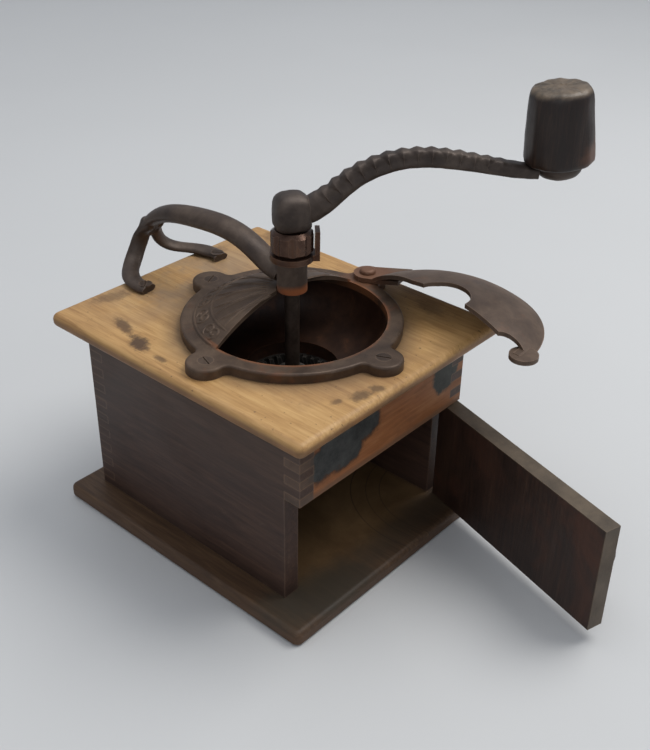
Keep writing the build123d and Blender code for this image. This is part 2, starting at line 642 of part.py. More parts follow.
with BuildPart() as adjusting_nut:
    with BuildSketch(level(NUT_LOW)):
        Circle(NUT_R)
        with PolarLocations(NUT_R + 1.9, NUT_FLUTES):
            Circle(2.9, mode=Mode.SUBTRACT)
        Circle(SHAFT_R + RUNNING, mode=Mode.SUBTRACT)
    extrude(amount=NUT_TOP - NUT_LOW)
    with BuildSketch(profile_plane):
        for edge_z, inward in ((NUT_LOW, 1), (NUT_TOP, -1)):
            outside = DECK + edge_z - inward
            with BuildLine():
                Polyline((NUT_R + 1, outside), (NUT_R + 1, outside + inward * (NUT_BEVEL + 2)),
                         (NUT_R - NUT_BEVEL - 1, outside), (NUT_R + 1, outside), close=True)
            make_face()
    revolve(axis=spindle, mode=Mode.SUBTRACT)
save("adjusting_nut", adjusting_nut.part)

# ---- crank ----
CRANK_STATIONS = [  # reach, height, slope; width, depth
    (4.0, 64.5, 25, 12.5, 13.0),
    (13.0, 68.0, 34, 11.8, 12.5),
    (22.0, 75.4, 42, 11.0, 11.4),
    (31.0, 83.0, 36, 10.5, 10.8),
    (41.0, 88.7, 23, 10.2, 10.2),
    (52.0, 92.2, 10, 10.0, 10.0),
    (65.0, 93.4, -1, 10.0, 9.8),
    (80.0, 92.2, -6, 9.8, 9.4),
    (95.0, 89.8, -9, 9.6, 8.6),
    (108.0, 87.0, -10, 9.6, 7.4),
    (121.0, 85.8, 0, 10.5, 6.6),
]
heading = math.radians(CRANK_ANGLE)
lean = math.radians(KNOB_LEAN)
knob_up = Vector(-math.sin(lean) * math.cos(heading), -math.sin(lean) * math.sin(heading), math.cos(lean))
knob_foot = Vector(CRANK_REACH * math.cos(heading), HOPPER_Y + CRANK_REACH * math.sin(heading),
                   DECK + KNOB_BASE)
PAD_GAP = 0.35
PAD_T = 7.2
PIN_TOP = 28.0
HUB_W = 18.4
HUB_TURN = 20.0  # degrees the square hub is turned from the arm's heading


def knob_plane(height):
    """Plane square to the knob's leaning axis, at a height above the knob's base."""
    return Plane(knob_foot + knob_up * height, x_dir=Vector(math.sin(heading), -math.cos(heading), 0),
                 z_dir=knob_up)


def crank_hub():
    """The rounded square block that grips the spindle."""
    with BuildPart() as block:
        with BuildSketch(level(HUB_LOW)):
            RectangleRounded(HUB_W, HUB_W, 5.5, rotation=CRANK_ANGLE + HUB_TURN)
        extrude(amount=HUB_TOP - HUB_LOW)
        fillet(block.faces().sort_by(Axis.Z)[-1].edges(), 4.6)
        fillet(block.faces().sort_by(Axis.Z)[0].edges(), 1.6)
    return block.part


def crank_pad():
    """The round pad at the arm's end that the knob turns on."""
    with BuildPart() as block:
        with BuildSketch(knob_plane(-PAD_GAP - PAD_T)):
            Circle(PAD_R)
        extrude(amount=PAD_T)
        fillet(block.faces().sort_by(Axis.Z)[0].edges(), 5.0)
    return block.part


hub_piece = crank_hub()
pad_piece = crank_pad()

with BuildPart() as crank_arm:
    for reach, height, slope, width, depth in CRANK_STATIONS:
        with BuildSketch(side_plane((reach, height, slope))):
            RectangleRounded(width, depth, 2.6)
    loft()
    add(hub_piece)
    add(pad_piece)
    with BuildSketch(level(HUB_LOW - 2)):
        Circle(SHAFT_R)
    extrude(amount=SHAFT_TOP - HUB_LOW + 2, mode=Mode.SUBTRACT)
    with BuildSketch(knob_plane(-PAD_GAP)):
        Circle(KNOB_R_LOW + 1)
    extrude(amount=KNOB_R_LOW, mode=Mode.SUBTRACT)
    with BuildSketch(knob_plane(-PAD_T - 4)):
        Circle(PIN_R + RUNNING)
    extrude(amount=PAD_T + 8, mode=Mode.SUBTRACT)
save("crank_arm", crank_arm.part)

with BuildPart() as crank_knob:
    with BuildSketch(knob_plane(0)):
        Circle(KNOB_R_LOW)
    with BuildSketch(knob_plane(KNOB_H)):
        Circle(KNOB_R_TOP)
    loft()
    fillet(crank_knob.faces().sort_by(Axis.Z)[-1].edges(), 2.6)
    fillet(crank_knob.faces().sort_by(Axis.Z)[0].edges(), 1.6)
    with BuildSketch(knob_plane(-1)):
        Circle(PIN_R)
    extrude(amount=PIN_TOP + 1, mode=Mode.SUBTRACT)
save("crank_knob", crank_knob.part)

with BuildPart() as knob_pin:
    with BuildSketch(knob_plane(-PAD_GAP - PAD_T - 0.4)):
        Circle(PIN_R)
    extrude(amount=PIN_TOP + PAD_GAP + PAD_T + 0.4)
    with BuildSketch(knob_plane(-PAD_GAP - PAD_T - 0.3)):
        Circle(PIN_R + 1.6)
    extrude(amount=-1.1)
save("knob_pin", knob_pin.part)
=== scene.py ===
import json
import math

import bmesh
import bpy
from mathutils import Matrix, Vector, noise


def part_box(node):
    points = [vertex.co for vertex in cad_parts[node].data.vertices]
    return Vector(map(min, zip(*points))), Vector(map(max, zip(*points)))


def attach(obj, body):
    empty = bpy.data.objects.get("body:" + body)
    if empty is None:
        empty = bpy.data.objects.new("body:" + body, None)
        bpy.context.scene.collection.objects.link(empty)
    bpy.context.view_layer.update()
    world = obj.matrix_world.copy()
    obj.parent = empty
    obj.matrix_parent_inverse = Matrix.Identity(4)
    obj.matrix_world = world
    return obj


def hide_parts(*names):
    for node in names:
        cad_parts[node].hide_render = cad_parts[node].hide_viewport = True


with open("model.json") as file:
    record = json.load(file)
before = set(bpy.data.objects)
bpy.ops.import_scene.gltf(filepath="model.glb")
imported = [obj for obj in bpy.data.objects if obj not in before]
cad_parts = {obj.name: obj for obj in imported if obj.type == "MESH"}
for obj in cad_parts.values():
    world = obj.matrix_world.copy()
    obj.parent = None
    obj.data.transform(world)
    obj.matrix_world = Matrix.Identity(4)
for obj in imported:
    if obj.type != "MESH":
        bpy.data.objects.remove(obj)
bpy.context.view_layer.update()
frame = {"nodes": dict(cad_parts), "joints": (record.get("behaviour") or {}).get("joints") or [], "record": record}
nodes = frame["nodes"]


# ---------------------------------------------------------------- places, from the frame
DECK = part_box("top_board")[1].z
SPINDLE = (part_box("adjusting_nut")[0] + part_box("adjusting_nut")[1]) / 2
MM = 0.001
CRANK = math.radians(-45)
CRANK_DIR = Vector((math.cos(CRANK), math.sin(CRANK), 0))
CRANK_SIDE = Vector((-math.sin(CRANK), math.cos(CRANK), 0))
joints = {joint["name"]: joint for joint in frame["joints"]}
KNOB_FOOT = Vector(joints["knob_spin"]["pos_m"])
KNOB_UP = Vector(joints["knob_spin"]["axis"])
KNOB_H = 38.0
LID_PIVOT = Vector(joints["lid_swing"]["pos_m"])
DOOR_PIVOT = Vector(joints["door_swing"]["pos_m"])


# ---------------------------------------------------------------- node material helpers
class Graph:
    """A material's node tree, with short calls for the nodes used here."""

    def __init__(self, name):
        self.mat = bpy.data.materials.new(name)
        self.mat.use_nodes = True
        self.tree = self.mat.node_tree
        self.shader = self.tree.nodes["Principled BSDF"]
        self.coord = self.tree.nodes.new("ShaderNodeTexCoord").outputs["Object"]

    def node(self, kind, **settings):
        made = self.tree.nodes.new(kind)
        for key, value in settings.items():
            setattr(made, key, value)
        return made

    def put(self, socket, value):
        if isinstance(value, bpy.types.NodeSocket):
            self.tree.links.new(value, socket)
        else:
            socket.default_value = value

    def place(self, scale=(1, 1, 1), turn=(0, 0, 0), source=None):
        made = self.node("ShaderNodeMapping")
        self.put(made.inputs["Vector"], source or self.coord)
        made.inputs["Scale"].default_value = scale
        made.inputs["Rotation"].default_value = turn
        return made.outputs[0]

    def noise(self, scale, detail=4, rough=0.55, distort=0, vector=None):
        made = self.node("ShaderNodeTexNoise")
        self.put(made.inputs["Vector"], vector or self.coord)
        made.inputs["Scale"].default_value = scale
        made.inputs["Detail"].default_value = detail
        made.inputs["Roughness"].default_value = rough
        made.inputs["Distortion"].default_value = distort
        return made.outputs["Fac"]

    def math(self, kind, a, b=0.0):
        made = self.node("ShaderNodeMath", operation=kind)
        self.put(made.inputs[0], a)
        self.put(made.inputs[1], b)
        return made.outputs[0]

    def span(self, value, low, high, out_low=0.0, out_high=1.0):
        made = self.node("ShaderNodeMapRange", interpolation_type="SMOOTHSTEP")
        self.put(made.inputs["Value"], value)
        made.inputs["From Min"].default_value = low
        made.inputs["From Max"].default_value = high
        made.inputs["To Min"].default_value = out_low
        made.inputs["To Max"].default_value = out_high
        return made.outputs[0]

    def ramp(self, value, stops):
        made = self.node("ShaderNodeValToRGB")
        self.put(made.inputs[0], value)
        points = made.color_ramp.elements
        while len(points) < len(stops):
            points.new(0.5)
        for point, (place, colour) in zip(points, stops):
            point.position = place
            point.color = (*colour, 1)
        return made.outputs[0]

    def mix(self, amount, a, b):
        made = self.node("ShaderNodeMix", data_type="RGBA")
        self.put(made.inputs[0], amount)
        for index, value in ((6, a), (7, b)):
            if isinstance(value, tuple):
                value = (*value, 1)
            self.put(made.inputs[index], value)
        return made.outputs[2]

    def spot(self, centre, size, edge=0.35, wobble=0.5, fine=220, turn=0.0):
        """A soft-edged stain round a point, its outline broken up by noise."""
        shifted = self.node("ShaderNodeVectorMath", operation="SUBTRACT")
        self.put(shifted.inputs[0], self.coord)
        shifted.inputs[1].default_value = centre
        turned = shifted.outputs[0]
        if turn:
            turned = self.place(turn=(0, 0, turn), source=turned)
        scaled = self.place(scale=[1 / s for s in size], source=turned)
        length = self.node("ShaderNodeVectorMath", operation="LENGTH")
        self.put(length.inputs[0], scaled)
        rough = self.math("MULTIPLY", self.math("SUBTRACT", self.noise(fine, 5, 0.65), 0.5), 2 * wobble)
        reach = self.math("ADD", length.outputs["Value"], rough)
        return self.span(reach, 1 + edge, 1 - edge)

    def axis(self, index):
        made = self.node("ShaderNodeSeparateXYZ")
        self.put(made.inputs[0], self.coord)
        return made.outputs[index]

    def edges(self, radius=0.0012, low=0.82, high=0.99):
        """Light only on sharp outer edges, from a bevelled normal."""
        soft = self.node("ShaderNodeBevel", samples=4)
        soft.inputs["Radius"].default_value = radius
        plain = self.node("ShaderNodeNewGeometry")
        dot = self.node("ShaderNodeVectorMath", operation="DOT_PRODUCT")
        self.put(dot.inputs[0], soft.outputs[0])
        self.put(dot.inputs[1], plain.outputs["Normal"])
        return self.span(dot.outputs["Value"], high, low)

    def bump(self, height, strength=0.4, distance=0.0004):
        made = self.node("ShaderNodeBump")
        made.inputs["Strength"].default_value = strength
        made.inputs["Distance"].default_value = distance
        self.put(made.inputs["Height"], height)
        return made.outputs[0]

    def done(self, colour, roughness, normal=None, metallic=0.0, specular=0.5):
        self.put(self.shader.inputs["Base Color"], colour)
        self.put(self.shader.inputs["Roughness"], roughness)
        if normal is not None:
            self.put(self.shader.inputs["Normal"], normal)
        self.shader.inputs["Metallic"].default_value = metallic
        self.shader.inputs["Specular IOR Level"].default_value = specular
        return self.mat


def stretch(along, squeeze=14):
    """Scales that draw a pattern out along a board's grain."""
    return [1 if axis == along else squeeze for axis in "xyz"]


def wood(name, grain, dark, middle, light, squeeze=14, fine=34):
    """Grain streaks, pores and slow colour changes. Returns the graph, the colour and a height."""
    g = Graph(name)
    along = g.place(scale=stretch(grain, squeeze))
    streaks = g.noise(fine, 7, 0.62, 0.6, along)
    figure = g.noise(6, 3, 0.5, 1.4, g.place(scale=stretch(grain, 5)))
    blend = g.math("ADD", g.math("MULTIPLY", streaks, 0.62), g.math("MULTIPLY", figure, 0.38))
    colour = g.ramp(blend, [(0.33, dark), (0.5, middle), (0.67, light)])
    pores = g.noise(150, 3, 0.6, 0, along)
    height = g.math("ADD", g.math("MULTIPLY", streaks, 0.7), g.math("MULTIPLY", pores, 0.5))
    return g, colour, height


# ---------------------------------------------------------------- woods
def top_wood():
    g, colour, height = wood("top_wood", "y", (0.30, 0.155, 0.055), (0.46, 0.265, 0.10), (0.58, 0.36, 0.15))
    patches = g.noise(16, 4, 0.6, 0.4)
    colour = g.mix(g.span(patches, 0.52, 0.72, 0, 0.5), colour, (0.27, 0.15, 0.075))
    colour = g.mix(g.span(patches, 0.45, 0.28, 0, 0.35), colour, (0.62, 0.40, 0.19))
    grey = g.noise(30, 5, 0.7)
    grime = g.math("MULTIPLY", g.spot((0, SPINDLE.y + 0.082, DECK), (0.055, 0.03, 0.05), 0.6, 0.5, 60), 0.6)
    colour = g.mix(g.math("MULTIPLY", grime, g.span(grey, 0.3, 0.6)), colour, (0.20, 0.155, 0.12))
    # darker round the hopper's foot, fading out between 62 and 78 mm from the spindle
    ring = g.node("ShaderNodeVectorMath", operation="DISTANCE")
    g.put(ring.inputs[0], g.coord)
    ring.inputs[1].default_value = (0, SPINDLE.y, DECK)
    darker_round_hopper = g.span(g.math("ADD", ring.outputs["Value"], g.math("MULTIPLY", grey, 0.010)), 0.078, 0.062)
    colour = g.mix(g.math("MULTIPLY", darker_round_hopper, 0.72), colour, (0.115, 0.07, 0.04))
    for x, y, wide, deep, turn, depth in (
            (-0.068, 0.032, 0.0045, 0.008, 0.4, 0.95), (-0.062, 0.052, 0.003, 0.010, 0.3, 0.8),
            (-0.071, 0.012, 0.002, 0.004, 0.0, 0.7), (-0.028, -0.084, 0.006, 0.0035, 0.2, 0.75),
            (-0.018, -0.0855, 0.004, 0.003, 0.9, 0.7), (-0.040, -0.079, 0.003, 0.002, 0.1, 0.6),
            (0.072, 0.07, 0.006, 0.012, 0.5, 0.5), (-0.045, 0.082, 0.010, 0.005, 0.3, 0.5),
            (0.066, -0.055, 0.005, 0.010, 0.2, 0.4), (0.03, 0.083, 0.012, 0.004, 0.0, 0.5)):
        stain = g.spot((x, y, DECK), (wide, deep, 0.02), 0.5, 0.9, 320, turn)
        colour = g.mix(g.math("MULTIPLY", stain, depth), colour, (0.075, 0.04, 0.02))
    scratches = g.noise(260, 2, 0.5, 0, g.place(scale=(1, 0.05, 1), turn=(0, 0, 0.5)))
    colour = g.mix(g.span(scratches, 0.66, 0.74, 0, 0.35), colour, (0.20, 0.11, 0.05))
    specks = g.noise(420, 2, 0.6)
    colour = g.mix(g.span(specks, 0.68, 0.74, 0, 0.7), colour, (0.12, 0.07, 0.035))
    side = g.span(g.axis(2), DECK - 0.0012, DECK - 0.0042)
    rim = g.mix(g.span(patches, 0.35, 0.6), (0.24, 0.11, 0.04), (0.13, 0.065, 0.03))
    colour = g.mix(g.math("MULTIPLY", side, 0.85), colour, rim)
    colour = g.mix(g.math("MULTIPLY", g.edges(0.0016), 0.25), colour, (0.55, 0.36, 0.18))
    rough = g.span(patches, 0.3, 0.7, 0.42, 0.62)
    return g.done(colour, rough, g.bump(height, 0.35, 0.0003), specular=0.4)


def side_wood():
    g, colour, height = wood("side_wood", "y", (0.028, 0.014, 0.010), (0.050, 0.025, 0.017),
                             (0.082, 0.043, 0.027))
    bloom = g.noise(11, 4, 0.6, 0.6)
    colour = g.mix(g.span(bloom, 0.5, 0.75, 0, 0.45), colour, (0.085, 0.048, 0.034))
    # painted light: the side panels lighter towards the top
    high = g.span(g.axis(2), 0.05, DECK)
    colour = g.mix(g.math("MULTIPLY", high, 0.35), colour, (0.085, 0.05, 0.030))
    low = g.span(g.math("ADD", g.axis(2), g.math("MULTIPLY", bloom, 0.012)), 0.024, 0.012)
    colour = g.mix(g.math("MULTIPLY", low, 0.6), colour, (0.022, 0.013, 0.009))
    scuff = g.noise(70, 5, 0.7, 0.3, g.place(scale=(1, 0.4, 1)))
    colour = g.mix(g.span(scuff, 0.63, 0.72, 0, 0.4), colour, (0.13, 0.08, 0.055))
    colour = g.mix(g.math("MULTIPLY", g.edges(0.0014), 0.6), colour, (0.16, 0.10, 0.065))
    return g.done(colour, g.span(bloom, 0.3, 0.7, 0.44, 0.6), g.bump(height, 0.4, 0.0003), specular=0.4)


TORN_PATCHES = (  # on the front rail: x, height from the rail's middle, half width, half height
    (-0.040, 0.001, 0.014, 0.0125), (-0.022, 0.004, 0.016, 0.008),
    (-0.052, -0.003, 0.008, 0.009), (-0.030, -0.006, 0.010, 0.007))


def rail_wood():
    g, colour, height = wood("rail_wood", "x", (0.19, 0.065, 0.022), (0.275, 0.105, 0.038),
                             (0.36, 0.16, 0.065))
    patches = g.noise(26, 5, 0.65, 0.5)
    colour = g.mix(g.span(patches, 0.5, 0.68, 0, 0.55), colour, (0.15, 0.062, 0.028))
    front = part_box("front_rail")[0].y
    middle = (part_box("front_rail")[0].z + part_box("front_rail")[1].z) / 2
    for x, z, wide, tall in TORN_PATCHES:
        halo = g.spot((x, front, middle + z), (wide * 1.12, 0.01, tall * 1.16), 0.14, 0.45, 150)
        colour = g.mix(g.math("MULTIPLY", halo, 0.8), colour, (0.040, 0.020, 0.012))
    for x, z, wide, tall in TORN_PATCHES:
        torn = g.spot((x, front, middle + z), (wide, 0.01, tall), 0.06, 0.45, 150)
        slate = g.ramp(g.noise(160, 5, 0.7), [(0.3, (0.020, 0.020, 0.019)), (0.7, (0.060, 0.060, 0.055))])
        colour = g.mix(torn, colour, slate)
    far = g.spot((0.050, front, middle + 0.004), (0.011, 0.01, 0.012), 0.12, 0.4, 150)
    green = g.ramp(g.noise(180, 5, 0.7), [(0.3, (0.018, 0.018, 0.014)), (0.7, (0.05, 0.052, 0.042))])
    colour = g.mix(far, colour, green)
    lower = g.span(g.axis(2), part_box("front_rail")[0].z + 0.0045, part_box("front_rail")[0].z + 0.001)
    colour = g.mix(g.math("MULTIPLY", lower, 0.7), colour, (0.13, 0.075, 0.045))
    end = g.span(g.axis(0), -0.0560, -0.0562)
    grey = g.ramp(g.noise(90, 5, 0.6), [(0.3, (0.055, 0.036, 0.026)), (0.7, (0.115, 0.080, 0.058))])
    colour = g.mix(g.math("MULTIPLY", end, 0.9), colour, grey)
    colour = g.mix(g.math("MULTIPLY", g.edges(0.0012), 0.35), colour, (0.33, 0.19, 0.10))
    return g.done(colour, g.span(patches, 0.3, 0.7, 0.45, 0.65), g.bump(height, 0.4, 0.0003), specular=0.35)


def base_wood():
    g, colour, height = wood("base_wood", "y", (0.040, 0.021, 0.011), (0.075, 0.040, 0.020),
                             (0.125, 0.072, 0.037))
    inside = g.math("MULTIPLY", g.span(g.axis(0), -0.058, -0.052), g.span(g.axis(0), 0.058, 0.052))
    inside = g.math("MULTIPLY", inside, g.span(g.axis(1), -0.085, -0.066))
    gold_noise = g.noise(22, 5, 0.6, 0.5)
    gold = g.ramp(gold_noise, [(0.35, (0.10, 0.055, 0.022)), (0.65, (0.21, 0.125, 0.055))])
    colour = g.mix(g.math("MULTIPLY", inside, 0.85), colour, gold)
    grime = g.spot((-0.052, -0.080, 0.009), (0.036, 0.016, 0.02), 0.5, 0.6, 70, 0.25)
    colour = g.mix(g.math("MULTIPLY", grime, 0.8), colour, (0.040, 0.034, 0.024))
    grime_right = g.spot((0.03, -0.079, 0.009), (0.07, 0.010, 0.02), 0.6, 0.6, 70)
    colour = g.mix(g.math("MULTIPLY", grime_right, 0.6), colour, (0.050, 0.037, 0.024))
    arc = g.node("ShaderNodeVectorMath", operation="DISTANCE")
    g.put(arc.inputs[0], g.coord)
    arc.inputs[1].default_value = (DOOR_PIVOT.x, DOOR_PIVOT.y, 0.0088)
    for radius, width in ((0.055, 0.0006), (0.038, 0.0005), (0.046, 0.0004)):
        inner = g.span(arc.outputs["Value"], radius - width, radius)
        outer = g.span(arc.outputs["Value"], radius + width, radius)
        colour = g.mix(g.math("MULTIPLY", g.math("MULTIPLY", inner, outer), 0.6), colour, (0.03, 0.02, 0.014))
    worn = g.math("MULTIPLY", g.edges(0.0022, 0.75, 0.99), g.span(g.noise(45, 4, 0.6), 0.35, 0.6))
    colour = g.mix(g.math("MULTIPLY", worn, 0.65), colour, (0.19, 0.095, 0.045))
    side = g.span(g.axis(2), 0.0075, 0.005)
    colour = g.mix(g.math("MULTIPLY", side, 0.45), colour, (0.10, 0.05, 0.025))
    return g.done(colour, 0.55, g.bump(height, 0.45, 0.0003), specular=0.35)


def door_wood():
    g, colour, height = wood("door_wood", "z", (0.014, 0.007, 0.005), (0.028, 0.013, 0.008),
                             (0.050, 0.024, 0.014))
    red = g.noise(14, 4, 0.6, 0.8)
    colour = g.mix(g.span(red, 0.52, 0.70, 0, 0.7), colour, (0.075, 0.026, 0.013))
    top = g.span(g.axis(2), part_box("door")[1].z - 0.0007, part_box("door")[1].z - 0.0001)
    grey = g.ramp(g.noise(55, 6, 0.65), [(0.3, (0.055, 0.040, 0.026)), (0.7, (0.13, 0.095, 0.062))])
    colour = g.mix(top, colour, grey)
    far = g.node("ShaderNodeVectorMath", operation="DISTANCE")
    g.put(far.inputs[0], g.place(scale=(1, 1, 0)))
    far.inputs[1].default_value = (DOOR_PIVOT.x, DOOR_PIVOT.y, 0)
    end = g.span(far.outputs["Value"], 0.1280, 0.1284)
    colour = g.mix(g.math("MULTIPLY", end, 0.9), colour, grey)
    colour = g.mix(g.math("MULTIPLY", g.edges(0.0012), 0.5), colour, (0.14, 0.095, 0.06))
    return g.done(colour, g.span(red, 0.3, 0.7, 0.42, 0.6), g.bump(height, 0.4, 0.0003), specular=0.4)


def knob_wood():
    g, colour, height = wood("knob_wood", "z", (0.008, 0.004, 0.0025), (0.017, 0.008, 0.005),
                             (0.040, 0.020, 0.011), 10, 60)
    blotch = g.noise(42, 5, 0.62, 0.6)
    height_here = g.node("ShaderNodeVectorMath", operation="DOT_PRODUCT")
    g.put(height_here.inputs[0], g.coord)
    height_here.inputs[1].default_value = KNOB_UP
    up = height_here.outputs["Value"]
    top = KNOB_FOOT.dot(KNOB_UP) + KNOB_H * MM
    wobble = g.math("ADD", up, g.math("MULTIPLY", blotch, 0.006))
    crown = g.span(wobble, top - 0.001, top + 0.0018)
    worn = g.ramp(g.noise(140, 5, 0.7), [(0.35, (0.055, 0.040, 0.026)), (0.65, (0.165, 0.120, 0.080))])
    colour = g.mix(crown, colour, worn)
    streak = g.noise(26, 4, 0.6, 0.3, g.place(scale=(1, 1, 0.25)))
    right = g.spot(KNOB_FOOT + Vector((0.0135, -0.0125, 0.020)), (0.0095, 0.0095, 0.024), 0.35, 0.5, 160)
    grey = g.ramp(streak, [(0.35, (0.040, 0.024, 0.014)), (0.6, (0.115, 0.078, 0.048))])
    colour = g.mix(g.math("MULTIPLY", right, 0.85), colour, grey)
    red = g.spot(KNOB_FOOT + Vector((0.008, -0.016, 0.006)), (0.012, 0.012, 0.007), 0.5, 0.5, 160)
    colour = g.mix(g.math("MULTIPLY", red, 0.7), colour, (0.125, 0.048, 0.022))
    colour = g.mix(g.span(streak, 0.6, 0.72, 0, 0.5), colour, (0.07, 0.042, 0.026))
    return g.done(colour, g.span(blotch, 0.3, 0.7, 0.36, 0.55), g.bump(height, 0.35, 0.0003), specular=0.45)


# ---------------------------------------------------------------- irons
def iron(name, dark, middle, light, rust=0.0, rough=(0.42, 0.62), pits=0.5, metal=0.35, fine=90):
    """Brown oxidised casting: mottled colour, a grainy skin, rubbed edges and rust."""
    g = Graph(name)
    mottle = g.noise(fine, 7, 0.68, 0.3)
    slow = g.noise(24, 4, 0.6, 0.5)
    blend = g.math("ADD", g.math("MULTIPLY", mottle, 0.55), g.math("MULTIPLY", slow, 0.45))
    colour = g.ramp(blend, [(0.36, dark), (0.5, middle), (0.64, light)])
    if rust:
        spots = g.span(g.noise(60, 6, 0.7, 0.4), 0.60 - 0.1 * rust, 0.72)
        colour = g.mix(g.math("MULTIPLY", spots, rust), colour, (0.17, 0.062, 0.024))
    rubbed = g.edges(0.0009, 0.80, 0.99)
    colour = g.mix(g.math("MULTIPLY", rubbed, 0.5), colour, tuple(min(1, c * 2.1) for c in light))
    skin = g.math("ADD", g.math("MULTIPLY", g.noise(700, 4, 0.7), 0.6), g.math("MULTIPLY", mottle, 0.5))
    normal = g.bump(skin, pits, 0.00025)
    return g, colour, g.span(slow, 0.3, 0.7, *rough), normal, metal


def hopper_iron():
    g, colour, rough, normal, metal = iron("hopper_iron", (0.045, 0.026, 0.016), (0.078, 0.048, 0.030),
                                           (0.12, 0.078, 0.050), 0.45)
    away = g.node("ShaderNodeVectorMath", operation="DISTANCE")
    g.put(away.inputs[0], g.place(scale=(1, 1, 0)))
    away.inputs[1].default_value = (0, SPINDLE.y, 0)
    lip = g.span(away.outputs["Value"], 0.0530, 0.0508)
    lip = g.math("MULTIPLY", lip, g.span(away.outputs["Value"], 0.0498, 0.0506))
    front = g.span(g.axis(1), SPINDLE.y + 0.02, SPINDLE.y)
    lip = g.math("MULTIPLY", g.math("MULTIPLY", lip, front), g.span(g.noise(80, 4, 0.6), 0.3, 0.55))
    colour = g.mix(g.math("MULTIPLY", lip, 0.75), colour, (0.26, 0.095, 0.035))
    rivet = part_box("lid_rivet")[0] * 0.5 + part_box("lid_rivet")[1] * 0.5
    ear = g.spot(rivet, (0.013, 0.013, 0.012), 0.5, 0.5, 120)
    colour = g.mix(g.math("MULTIPLY", ear, 0.5), colour, (0.20, 0.075, 0.03))
    return g.done(colour, rough, normal, metal)


def lid_iron():
    g, colour, rough, normal, metal = iron("lid_iron", (0.060, 0.036, 0.024), (0.100, 0.064, 0.043),
                                           (0.145, 0.098, 0.068), 0.3, (0.5, 0.68), 0.4, 0.25)
    root = g.spot(LID_PIVOT, (0.016, 0.016, 0.02), 0.5, 0.5, 120)
    colour = g.mix(g.math("MULTIPLY", root, 0.5), colour, (0.20, 0.075, 0.03))
    return g.done(colour, rough, normal, metal)


def handle_iron():
    g, colour, rough, normal, metal = iron("handle_iron", (0.040, 0.026, 0.019), (0.070, 0.047, 0.034),
                                           (0.115, 0.082, 0.060), 0.25)
    boss = g.spot((SPINDLE.x, SPINDLE.y - 0.004, DECK + 0.0225), (0.011, 0.011, 0.0035), 0.5, 0.4, 160)
    colour = g.mix(g.math("MULTIPLY", boss, 0.9), colour, (0.33, 0.10, 0.03))
    return g.done(colour, rough, normal, metal)


def crank_iron():
    return plain_iron("crank_iron", (0.028, 0.020, 0.016), (0.050, 0.036, 0.029), (0.090, 0.067, 0.053), 0.15,
                      (0.38, 0.55), 0.45, 0.45)


def plain_iron(name, dark, middle, light, rust, rough, pits, metal, fine=90):
    g, colour, roughness, normal, metallic = iron(name, dark, middle, light, rust, rough, pits, metal, fine)
    return g.done(colour, roughness, normal, metallic)


MATERIALS = {
    "top_wood": top_wood(),
    "side_wood": side_wood(),
    "rail_wood": rail_wood(),
    "base_wood": base_wood(),
    "door_wood": door_wood(),
    "knob_wood": knob_wood(),
    "dark_iron": hopper_iron(),
    "lid_iron": lid_iron(),
    "handle_iron": handle_iron(),
    "crank_iron": crank_iron(),
    "bowl_iron": plain_iron("bowl_iron", (0.016, 0.007, 0.004), (0.036, 0.015, 0.008), (0.075, 0.032, 0.016),
                            0.4, (0.38, 0.58), 0.5, 0.3, 60),
    "nut_iron": plain_iron("nut_iron", (0.040, 0.020, 0.013), (0.075, 0.040, 0.027), (0.125, 0.075, 0.052),
                           0.3, (0.22, 0.4), 0.3, 0.7),
    "shaft_steel": plain_iron("shaft_steel", (0.040, 0.028, 0.020), (0.070, 0.050, 0.038), (0.12, 0.09, 0.07),
                              0.3, (0.3, 0.5), 0.35, 0.6, 140),
    "burr_iron": plain_iron("burr_iron", (0.05, 0.045, 0.040), (0.10, 0.09, 0.08), (0.18, 0.165, 0.15),
                            0.2, (0.35, 0.5), 0.4, 0.7),
    "screw_steel": plain_iron("screw_steel", (0.030, 0.018, 0.012), (0.060, 0.038, 0.026),
                              (0.10, 0.068, 0.048), 0.6, (0.45, 0.65), 0.5, 0.5, 160),
    "nail_steel": plain_iron("nail_steel", (0.040, 0.026, 0.02), (0.075, 0.052, 0.04), (0.12, 0.09, 0.07),
                             0.6, (0.45, 0.65), 0.5, 0.5, 160),
}


def paint(obj, name):
    obj.data.materials.clear()
    obj.data.materials.append(MATERIALS[name])


LOOKS = {"lid": "lid_iron", "lid_rivet": "lid_iron", "crank_arm": "crank_iron"}
for part in frame["record"]["subparts"]:
    paint(nodes[part["node"]], LOOKS.get(part["node"], part["material_slot"]))


def shade_smooth(obj, angle=35):
    """Smooth shading, except across creases sharper than the angle."""
    made = bmesh.new()
    made.from_mesh(obj.data)
    for face in made.faces:
        face.smooth = True
    for edge in made.edges:
        edge.smooth = len(edge.link_faces) == 2 and edge.calc_face_angle(0) < math.radians(angle)
    made.to_mesh(obj.data)
    made.free()


for cad_node in nodes.values():
    shade_smooth(cad_node)


# ---------------------------------------------------------------- new pieces
def add_object(name, mesh_maker, material, body, slot, *replaced):
    """Finish a bmesh as an object that rides on a body."""
    mesh_maker.normal_update()
    data = bpy.data.meshes.new(name)
    mesh_maker.to_mesh(data)
    mesh_maker.free()
    obj = bpy.data.objects.new(name, data)
    bpy.context.scene.collection.objects.link(obj)
    paint(obj, material)
    shade_smooth(obj, 50)
    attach(obj, body)
    if replaced:
        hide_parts(*replaced)
    return obj


def tube(made, rings):
    """Skin a list of rings of points into a closed tube."""
    rows = [[made.verts.new(point) for point in ring] for ring in rings]
    count = len(rows[0])
    for row, following in zip(rows, rows[1:]):
        for i in range(count):
            made.faces.new((row[i], row[(i + 1) % count], following[(i + 1) % count], following[i]))
    made.faces.new(list(reversed(rows[0])))
    made.faces.new(rows[-1])
    bmesh.ops.recalc_face_normals(made, faces=made.faces[:])


